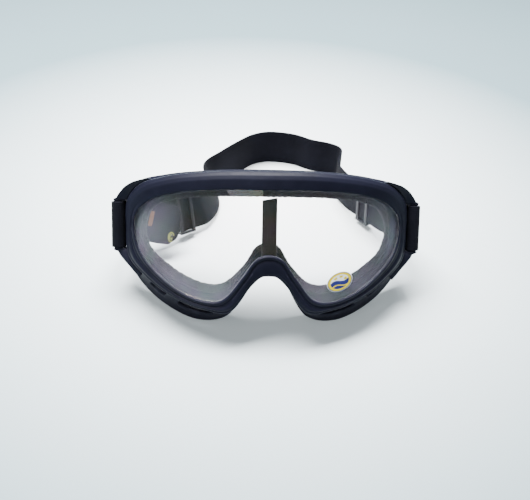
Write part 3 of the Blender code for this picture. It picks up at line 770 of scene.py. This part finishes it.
def even_steps(middle, width, step):
    """Resamples a ribbon at even distances; gives middles, widths, normals and distances."""
    length = np.append(0.0, np.cumsum(np.linalg.norm(np.diff(middle, axis=0), axis=1)))
    keep = np.append(True, np.diff(length) > 1e-6)
    length, middle, width = length[keep], middle[keep], width[keep]
    places = np.linspace(0.0, length[-1], int(length[-1] / step) + 1)
    middle = np.column_stack([np.interp(places, length, middle[:, axis]) for axis in range(3)])
    width = np.column_stack([np.interp(places, length, width[:, axis]) for axis in range(3)])
    for _ in range(2):
        middle[1:-1] = (middle[:-2] + 2 * middle[1:-1] + middle[2:]) / 4
    heading = unit(np.gradient(middle, axis=0))
    width = unit(width - heading * np.sum(width * heading, axis=1, keepdims=True))
    return middle, width, np.cross(heading, width), places


def web_section():
    """Ribbed webbing section with rounded selvedges: height across the width and offset to each side."""
    half = WEB_WIDTH / 2
    edge = WEB_THICKNESS / 2
    spread = np.linspace(-1.0, 1.0, WEB_RIBS * 4 + 1) * (half - edge)
    ribs = RIB_HEIGHT * (np.cos(np.linspace(0.0, WEB_RIBS * 2 * math.pi, len(spread))) - 1.0)
    round_edge = [(math.sin(a), math.cos(a)) for a in np.linspace(0.0, math.pi, 9)[1:-1]]
    front = list(zip(spread, edge + ribs))
    top = [(half - edge + edge * out, edge * over) for out, over in round_edge]
    back = [(height, -offset) for height, offset in front[::-1]]
    low = [(-height, -offset) for height, offset in top]
    return np.array(front + top + back + low)


def ribbon(name, line, material, trim=None):
    """A webbing piece along a line; trim gives each station its own half width in millimetres."""
    middle, width, normal, places = line
    section = web_section()
    scale = np.ones(len(middle)) if trim is None else trim / (WEB_WIDTH / 2)
    sections = []
    for height, offset in section:
        sections.append(middle + width * (height * scale)[:, None] + normal * offset)
    made = loft(name, sections, material)
    marks = np.empty((len(middle), len(section), 2))
    marks[..., 0] = places[:, None] * MM
    marks[..., 1] = section[None, :, 0] * scale[:, None] * MM
    write_uv(made, marks.reshape(-1, 2))
    return made


def build_strap(material):
    web = ribbon("head_strap", strap_line(), material)
    finish_piece(web, None, "webbing", "strap_band")
    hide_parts("strap_loop_left", "strap_loop_right", "strap_return_left", "strap_return_right")
    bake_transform(web)
    return web


def tail_line(places):
    """The loose end inside the left run: it stands inward of the strap, and sinks and leans as it goes."""
    middle, width, outward = strap_frame(places)
    start, end = TAIL_PLACES
    along = ((places - start) / (end - start))[:, None]
    drift = WEB_THICKNESS + TAIL_GAP + TAIL_DRIFT * along
    across = width * np.cos(TAIL_LEAN * along) + outward * np.sin(TAIL_LEAN * along)
    return middle - outward * drift - across * TAIL_SINK * along, across


def build_tail(materials):
    line = even_steps(*tail_line(np.linspace(*TAIL_PLACES, 80)), WEB_STEP / 2)
    left = line[3][-1] - line[3]
    bite = np.sqrt(np.maximum(TAIL_CORNER**2 - np.maximum(TAIL_CORNER - left, 0.0) ** 2, 0.0))
    trim = WEB_WIDTH / 2 - TAIL_CORNER + np.maximum(bite, 0.4)
    tail = ribbon("strap_tail", line, materials["webbing"], np.minimum(trim, WEB_WIDTH / 2 - 0.2))
    finish_piece(tail, "strap", "webbing", "strap_tail_left")
    build_label(materials["label"])
    build_thread_mark(materials["thread"])


def build_label(material):
    """A short woven tab stitched across the tail, standing a little proud of it."""
    middle, width, normal, _ = even_steps(*tail_line(np.linspace(*LABEL_PLACES, 12)), 0.2)
    low, high = LABEL_SPAN
    sections = []
    under, over = LABEL_OFFSETS
    for height, offset in ((low, under), (low + 0.2, over), (high - 0.2, over), (high, under)):
        sections.append(middle + width * height + normal * offset)
    tab = loft("strap_tab", sections, material)
    soften = tab.modifiers.new("soften", "SUBSURF")
    soften.levels = 2
    apply_modifiers(tab)
    smooth_faces(tab.data)
    return finish_piece(tab, "strap", "label", "strap_label")


def build_thread_mark(material):
    """A small loop of raised thread embroidered near the end of the loose tail."""
    middle, width, normal, places = even_steps(*tail_line(np.linspace(*TAIL_PLACES, 80)), WEB_STEP / 4)
    centre = int(np.argmin(np.abs(places - (places[-1] - MARK_INSET))))
    along = unit(np.gradient(middle, axis=0))[centre]
    across, up = width[centre], normal[centre]
    heart = middle[centre] + across * MARK_HEIGHT + up * (WEB_THICKNESS / 2 + MARK_LIFT)
    thick, tall = THREAD_HALF
    for name, scale, start in MARK_LOOPS:
        angle = np.linspace(0.0, MARK_TURN, 28) + start
        ahead = np.outer(np.cos(angle) * MARK_HALF[0] * scale, along)
        path = heart + ahead + np.outer(np.sin(angle) * MARK_HALF[1] * scale, across)
        beside = unit(np.cross(np.gradient(path, axis=0), up))
        sections = []
        for turn in np.linspace(0.0, 2 * math.pi, 8, endpoint=False):
            sections.append(path + beside * thick * math.cos(turn) + up * tall * math.sin(turn))
        thread = loft(name, sections, material)
        finish_piece(thread, "strap", "label")


# Materials


class Nodes:
    """Short names for building one node material."""

    def __init__(self, name):
        self.material = bpy.data.materials.new(name)
        self.material.use_nodes = True
        self.tree = self.material.node_tree
        self.shader = self.tree.nodes["Principled BSDF"]
        self.output = self.tree.nodes["Material Output"]

    def add(self, kind, **values):
        made = self.tree.nodes.new(kind)
        for key, value in values.items():
            if hasattr(made, key):
                setattr(made, key, value)
            else:
                made.inputs[key.replace("_", " ")].default_value = value
        return made

    def join(self, source, target):
        self.tree.links.new(source, target)

    def place(self):
        return self.add("ShaderNodeTexCoord").outputs["Object"]

    def noise(self, scale, detail=3.0, roughness=0.5, where=None):
        made = self.add("ShaderNodeTexNoise")
        made.inputs["Scale"].default_value = scale
        made.inputs["Detail"].default_value = detail
        made.inputs["Roughness"].default_value = roughness
        self.join(where or self.place(), made.inputs["Vector"])
        return made.outputs["Fac"]

    def ramp(self, source, *stops):
        made = self.add("ShaderNodeValToRGB")
        ramp = made.color_ramp
        while len(ramp.elements) < len(stops):
            ramp.elements.new(0.5)
        for element, (place, colour) in zip(ramp.elements, stops):
            element.position = place
            value = colour if isinstance(colour, tuple) else (colour, colour, colour)
            element.color = (*value, 1.0)
        self.join(source, made.inputs["Fac"])
        return made.outputs["Color"]

    def math(self, operation, first, second=0.0):
        made = self.add("ShaderNodeMath", operation=operation)
        for socket, value in zip(made.inputs, (first, second)):
            if isinstance(value, (int, float)):
                socket.default_value = value
            else:
                self.join(value, socket)
        return made.outputs["Value"]

    def blend(self, share, first, second, kind="MIX"):
        made = self.add("ShaderNodeMix", data_type="RGBA", blend_type=kind)
        pairs = ((made.inputs["Factor"], share), (made.inputs[6], first), (made.inputs[7], second))
        for socket, value in pairs:
            if isinstance(value, tuple):
                socket.default_value = (*value, 1.0)
            elif isinstance(value, (int, float)):
                socket.default_value = value
            else:
                self.join(value, socket)
        return made.outputs[2]

    def bump(self, height, distance, strength=1.0, before=None):
        made = self.add("ShaderNodeBump")
        made.inputs["Strength"].default_value = strength
        made.inputs["Distance"].default_value = distance
        self.join(height, made.inputs["Height"])
        if before is not None:
            self.join(before, made.inputs["Normal"])
        return made.outputs["Normal"]

    def set(self, **values):
        for name, value in values.items():
            socket = self.shader.inputs[name.replace("_", " ")]
            if isinstance(value, (int, float)):
                socket.default_value = value
            elif isinstance(value, tuple) and name.endswith(("Color", "Tint")):
                socket.default_value = (*value, 1.0)
            else:
                self.join(value, socket)
        return self.material


def rubber_material():
    """Soft navy-black moulding: fine spark grain, faint flow clouds and lighter colour along sharp convex
    edges.
    """
    nodes = Nodes("moulded_rubber_satin")
    cloud = nodes.noise(55.0, 4.0, 0.6)
    grain = nodes.noise(2600.0, 2.0, 0.6)
    # Pointiness makes the colour lighter along sharp convex edges.
    surface_detail = nodes.add("ShaderNodeNewGeometry").outputs["Pointiness"]
    edge = nodes.ramp(surface_detail, (0.50, 0.0), (0.62, 1.0))
    base = nodes.ramp(cloud, (0.3, (0.0036, 0.0038, 0.0088)), (0.7, (0.0062, 0.0066, 0.0140)))
    colour = nodes.blend(nodes.math("MULTIPLY", edge, 0.5), base, (0.030, 0.030, 0.044))
    rough = nodes.ramp(nodes.noise(190.0, 5.0, 0.65), (0.25, 0.40), (0.75, 0.56))
    soft = nodes.bump(cloud, 0.0009, 0.25)
    bump = nodes.bump(grain, 0.00006, 0.9, soft)
    return nodes.set(Base_Color=colour, Roughness=rough, Normal=bump, Specular_IOR_Level=0.07)


def plastic_material(name, low, high, roughness):
    """Moulded plastic with a fine satin grain."""
    nodes = Nodes(name)
    cloud = nodes.noise(120.0, 4.0, 0.6)
    rough = nodes.ramp(nodes.noise(420.0, 4.0, 0.6), (0.3, roughness - 0.06), (0.7, roughness + 0.08))
    bump = nodes.bump(nodes.noise(1800.0, 3.0, 0.6), 0.00005, 0.7)
    colour = nodes.ramp(cloud, (0.3, low), (0.7, high))
    return nodes.set(Base_Color=colour, Roughness=rough, Normal=bump, Specular_IOR_Level=0.16)


def foam_material():
    """Open-cell foam: bumped cells, with painted shade making the pits darker than the lighter cell walls."""
    nodes = Nodes("foam_open_cell")
    cells = nodes.add("ShaderNodeTexVoronoi", feature="DISTANCE_TO_EDGE")
    cells.inputs["Scale"].default_value = 1500.0
    nodes.join(nodes.place(), cells.inputs["Vector"])
    cell_relief_and_pit_shade = nodes.ramp(cells.outputs["Distance"], (0.05, 1.0), (0.35, 0.0))
    cloud = nodes.noise(260.0, 5.0, 0.7)
    shade = nodes.ramp(cloud, (0.3, (0.008, 0.008, 0.010)), (0.7, (0.022, 0.021, 0.026)))
    # Painted shade: the pits between the cell walls are darker.
    colour = nodes.blend(nodes.math("MULTIPLY", cell_relief_and_pit_shade, 0.6), shade, (0.045, 0.043, 0.052))
    bump = nodes.bump(nodes.math("ADD", cell_relief_and_pit_shade, cloud), 0.00035, 0.9)
    return nodes.set(
        Base_Color=colour,
        Roughness=0.95,
        Normal=bump,
        Specular_IOR_Level=0.15,
        Sheen_Weight=0.06,
    )


def webbing_material():
    """Woven elastic: cross threads between the lengthwise ribs, with a soft nap."""
    nodes = Nodes("webbing_elastic")
    split = nodes.add("ShaderNodeSeparateXYZ")
    nodes.join(nodes.add("ShaderNodeUVMap", uv_map="UVMap").outputs["UV"], split.inputs["Vector"])
    along, across = split.outputs["X"], split.outputs["Y"]
    rib = nodes.math("MULTIPLY", across, WEB_RIBS * 2 * math.pi / ((WEB_WIDTH - WEB_THICKNESS) * MM))
    stagger = nodes.math("MULTIPLY", nodes.math("SINE", rib), 0.9)
    crossing = nodes.math("MULTIPLY", along, 2 * math.pi / (WEFT_PITCH * MM))
    weft = nodes.math("SINE", nodes.math("ADD", crossing, stagger))
    thread = nodes.math("MULTIPLY", nodes.math("ADD", weft, 1.0), 0.5)
    fluff = nodes.noise(1900.0, 3.0, 0.7)
    height = nodes.math("ADD", thread, nodes.math("MULTIPLY", fluff, 0.8))
    # Painted shade: the weave is darker where its threads sit low; the fluff noise adds random tone.
    shade = nodes.ramp(height, (0.2, (0.0009, 0.0010, 0.0024)), (0.9, (0.0030, 0.0033, 0.0066)))
    tone = nodes.ramp(nodes.noise(38.0, 3.0, 0.6), (0.3, 0.75), (0.7, 1.25))
    colour = nodes.blend(1.0, shade, tone, "MULTIPLY")
    bump = nodes.bump(height, 0.00012, 0.8)
    return nodes.set(
        Base_Color=colour,
        Roughness=0.9,
        Normal=bump,
        Specular_IOR_Level=0.08,
        Sheen_Weight=0.01,
    )


def label_material():
    """Rust-orange woven tab."""
    nodes = Nodes("label_woven_thread")
    weave = nodes.add("ShaderNodeTexWave", bands_direction="DIAGONAL")
    weave.inputs["Scale"].default_value = 900.0
    weave.inputs["Distortion"].default_value = 1.5
    nodes.join(nodes.place(), weave.inputs["Vector"])
    # Painted shade: the weave is darker in its low bands, where the bump is lowest.
    colour = nodes.ramp(weave.outputs["Fac"], (0.2, (0.10, 0.032, 0.006)), (0.8, (0.24, 0.085, 0.014)))
    bump = nodes.bump(weave.outputs["Fac"], 0.0001, 0.8)
    return nodes.set(Base_Color=colour, Roughness=0.8, Normal=bump)


def thread_material():
    """Yellow-green embroidery thread, ridged along its twist."""
    nodes = Nodes("mark_embroidery_thread")
    twist = nodes.add("ShaderNodeTexWave", bands_direction="DIAGONAL")
    twist.inputs["Scale"].default_value = 1400.0
    nodes.join(nodes.place(), twist.inputs["Vector"])
    # Painted shade: the thread is darker in the grooves of its twist.
    colour = nodes.ramp(twist.outputs["Fac"], (0.2, (0.055, 0.065, 0.004)), (0.8, (0.17, 0.19, 0.010)))
    bump = nodes.bump(twist.outputs["Fac"], 0.00008, 0.8)
    return nodes.set(Base_Color=colour, Roughness=0.7, Normal=bump)


def lens_material():
    """Clear polycarbonate; a streaked lavender diffuse veil towards the sides and along the lower edge is a
    painted reflection.
    """
    nodes = Nodes("lens_polycarbonate")
    surface_detail = nodes.ramp(nodes.noise(70.0, 4.0, 0.6), (0.3, 0.0), (0.8, 0.004))
    film = nodes.math("ADD", nodes.math("MULTIPLY", nodes.noise(26.0, 2.0, 0.5), 420.0), 130.0)
    nodes.set(
        Base_Color=(0.985, 0.99, 1.0),
        Roughness=surface_detail,
        IOR=1.5,
        Transmission_Weight=1.0,
        Thin_Film_Thickness=film,
        Thin_Film_IOR=1.42,
    )
    clear = nodes.add("ShaderNodeBsdfTransparent")
    clear.inputs["Color"].default_value = (0.93, 0.94, 0.96, 1.0)
    lit = nodes.add("ShaderNodeMixShader")
    nodes.join(nodes.add("ShaderNodeLightPath").outputs["Is Shadow Ray"], lit.inputs[0])
    nodes.join(nodes.shader.outputs[0], lit.inputs[1])
    nodes.join(clear.outputs[0], lit.inputs[2])
    # Painted reflection: a lavender diffuse veil mixed in towards the sides and along the lower edge of the
    # lens.
    split = nodes.add("ShaderNodeSeparateXYZ")
    nodes.join(nodes.place(), split.inputs["Vector"])
    side = nodes.ramp(nodes.math("ABSOLUTE", split.outputs["X"]), (0.046, 0.0), (0.076, 1.0))
    low = nodes.ramp(nodes.math("MULTIPLY", split.outputs["Z"], 10.0), (0.26, 1.0), (0.50, 0.0))
    streak = nodes.ramp(nodes.noise(150.0, 4.0, 0.7), (0.3, 0.7), (0.7, 1.0))
    reflection_cover = nodes.math("MULTIPLY", nodes.math("MAXIMUM", side, low), streak)
    reflection_tint = nodes.ramp(nodes.noise(85.0, 3.0, 0.6), (0.38, (0.62, 0.54, 0.74)), (0.62, (0.50, 0.62, 0.62)))
    painted_reflection_veil = nodes.add("ShaderNodeBsdfDiffuse")
    nodes.join(reflection_tint, painted_reflection_veil.inputs["Color"])
    with_painted_reflection = nodes.add("ShaderNodeMixShader")
    nodes.join(nodes.math("MULTIPLY", reflection_cover, PAINTED_REFLECTION_SHARE), with_painted_reflection.inputs[0])
    nodes.join(lit.outputs[0], with_painted_reflection.inputs[1])
    nodes.join(painted_reflection_veil.outputs[0], with_painted_reflection.inputs[2])
    nodes.join(with_painted_reflection.outputs[0], nodes.output.inputs["Surface"])
    return nodes.material


def sticker_material():
    """Printed film: a yellow ring round a field with a plain dark blue band and a pale sweep."""
    nodes = Nodes("sticker_printed_film")
    split = nodes.add("ShaderNodeSeparateXYZ")
    nodes.join(nodes.add("ShaderNodeUVMap", uv_map="UVMap").outputs["UV"], split.inputs["Vector"])
    u = nodes.math("MULTIPLY", nodes.math("SUBTRACT", split.outputs["X"], 0.5), 2.0)
    v = nodes.math("MULTIPLY", nodes.math("SUBTRACT", split.outputs["Y"], 0.5), 2.0)
    radius = nodes.math("SQRT", nodes.math("ADD", nodes.math("MULTIPLY", u, u), nodes.math("MULTIPLY", v, v)))
    wave = nodes.math("MULTIPLY", nodes.math("SINE", nodes.math("MULTIPLY", u, 4.2)), 0.16)
    level = nodes.math("ADD", v, wave)
    yellow, blue, pale = (0.62, 0.48, 0.0), (0.008, 0.012, 0.12), (0.70, 0.72, 0.74)
    turn = nodes.math("MULTIPLY", nodes.math("ARCTAN2", v, u), 7.0)
    dash = nodes.math("GREATER_THAN", nodes.math("SINE", turn), -0.2)
    band = nodes.math("LESS_THAN", nodes.math("ABSOLUTE", nodes.math("SUBTRACT", radius, 0.50)), 0.11)
    field = nodes.blend(nodes.math("MULTIPLY", dash, band), pale, yellow)
    field = nodes.blend(nodes.math("LESS_THAN", level, 0.10), field, blue)
    stripe = nodes.math("LESS_THAN", nodes.math("ABSOLUTE", nodes.math("ADD", level, 0.40)), 0.055)
    field = nodes.blend(stripe, field, yellow)
    ring = nodes.blend(nodes.math("GREATER_THAN", radius, 0.72), field, yellow)
    ring = nodes.blend(nodes.math("GREATER_THAN", radius, 0.90), ring, blue)
    ring = nodes.blend(nodes.math("GREATER_THAN", radius, 0.955), ring, pale)
    grain = nodes.noise(900.0, 3.0, 0.6)
    colour = nodes.blend(nodes.math("MULTIPLY", grain, 0.03), ring, (0.5, 0.5, 0.5))
    rough = nodes.ramp(grain, (0.3, 0.30), (0.7, 0.42))
    return nodes.set(Base_Color=colour, Roughness=rough, Specular_IOR_Level=0.3)


def make_materials():
    return {
        "rubber": rubber_material(),
        "plastic": plastic_material("adjuster_satin", (0.004, 0.004, 0.007), (0.009, 0.009, 0.013), 0.38),
        "post": plastic_material("post_smoked", (0.0010, 0.0011, 0.0024), (0.0040, 0.0020, 0.0022), 0.4),
        "foam": foam_material(),
        "webbing": webbing_material(),
        "label": label_material(),
        "thread": thread_material(),
        "lens": lens_material(),
        "sticker": sticker_material(),
    }


# Studio


def add_camera():
    """The camera turns a little to the left, looks down and rolls with the goggles' own tilt."""
    camera = bpy.data.cameras.new("camera")
    camera.lens = VIEW_LENS
    camera.shift_x = VIEW_SHIFT
    camera.sensor_width = 36.0
    camera.clip_start = 0.01
    made = bpy.data.objects.new("camera", camera)
    bpy.context.collection.objects.link(made)
    level = math.cos(VIEW_HEIGHT)
    back = Vector((math.sin(VIEW_SIDE) * level, -math.cos(VIEW_SIDE) * level, math.sin(VIEW_HEIGHT)))
    look = back.to_track_quat("Z", "Y").to_matrix().to_4x4()
    place = Matrix.Translation(VIEW_TARGET + back * VIEW_DISTANCE)
    made.matrix_world = place @ look @ Matrix.Rotation(VIEW_ROLL, 4, "Z")
    bpy.context.scene.camera = made


def add_area_light(name, power, place):
    """A soft rectangular light aimed at the middle of the goggles."""
    light = bpy.data.lights.new(name, "AREA")
    light.energy = power
    light.shape = "RECTANGLE"
    light.size, light.size_y = LIGHT_SIZE
    made = bpy.data.objects.new(name, light)
    bpy.context.collection.objects.link(made)
    aim = Vector(place) - LIGHT_TARGET
    made.matrix_world = Matrix.Translation(place) @ aim.to_track_quat("Z", "Y").to_matrix().to_4x4()


def floor_material():
    """Paper floor with a painted pool of light that also glows: nearly white round the goggles and cooler
    further out.
    """
    nodes = Nodes("floor_paper")
    reach = nodes.add("ShaderNodeVectorMath", operation="LENGTH")
    nodes.join(nodes.place(), reach.inputs[0])
    spread = nodes.math("DIVIDE", reach.outputs["Value"], LIGHT_POOL_REACH)
    painted_light_pool = nodes.ramp(spread, *FLOOR_LIGHT_POOL_COLOURS)
    grain = nodes.ramp(nodes.noise(9.0, 3.0, 0.5), (0.3, 0.985), (0.7, 1.0))
    # Painted light: the floor glows in the colours of its painted pool of light, though it is no lamp.
    return nodes.set(
        Base_Color=nodes.blend(1.0, painted_light_pool, grain, "MULTIPLY"),
        Roughness=0.9,
        Emission_Color=painted_light_pool,
        Emission_Strength=0.36,
    )


def add_studio():
    """Soft surrounding light, a paper floor with a glowing painted pool of light, and the area lights."""
    world = bpy.data.worlds.new("studio")
    bpy.context.scene.world = world
    world.use_nodes = True
    sky = world.node_tree.nodes["Background"]
    sky.inputs["Color"].default_value = SKY_COLOUR
    sky.inputs["Strength"].default_value = SKY_STRENGTH
    mesh = bpy.data.meshes.new("floor")
    corners = [(x * FLOOR_HALF, y * FLOOR_HALF, 0.0) for x, y in ((-1, -1), (1, -1), (1, 1), (-1, 1))]
    mesh.from_pydata(corners, [], [(0, 1, 2, 3)])
    floor = bpy.data.objects.new("floor", mesh)
    bpy.context.collection.objects.link(floor)
    floor.location.y = LIGHT_POOL_CENTRE
    paint(floor, floor_material())
    for name, power, place in LIGHTS:
        add_area_light(name, power, place)


def build_goggles():
    materials = make_materials()
    build_bezel(materials["rubber"])
    build_shell(materials["rubber"])
    build_hardware(materials)
    build_foams(materials["foam"])
    build_lens(materials["lens"])
    build_sticker(materials["sticker"])
    build_strap(materials["webbing"])
    build_tail(materials)


add_camera()
add_studio()
build_goggles()
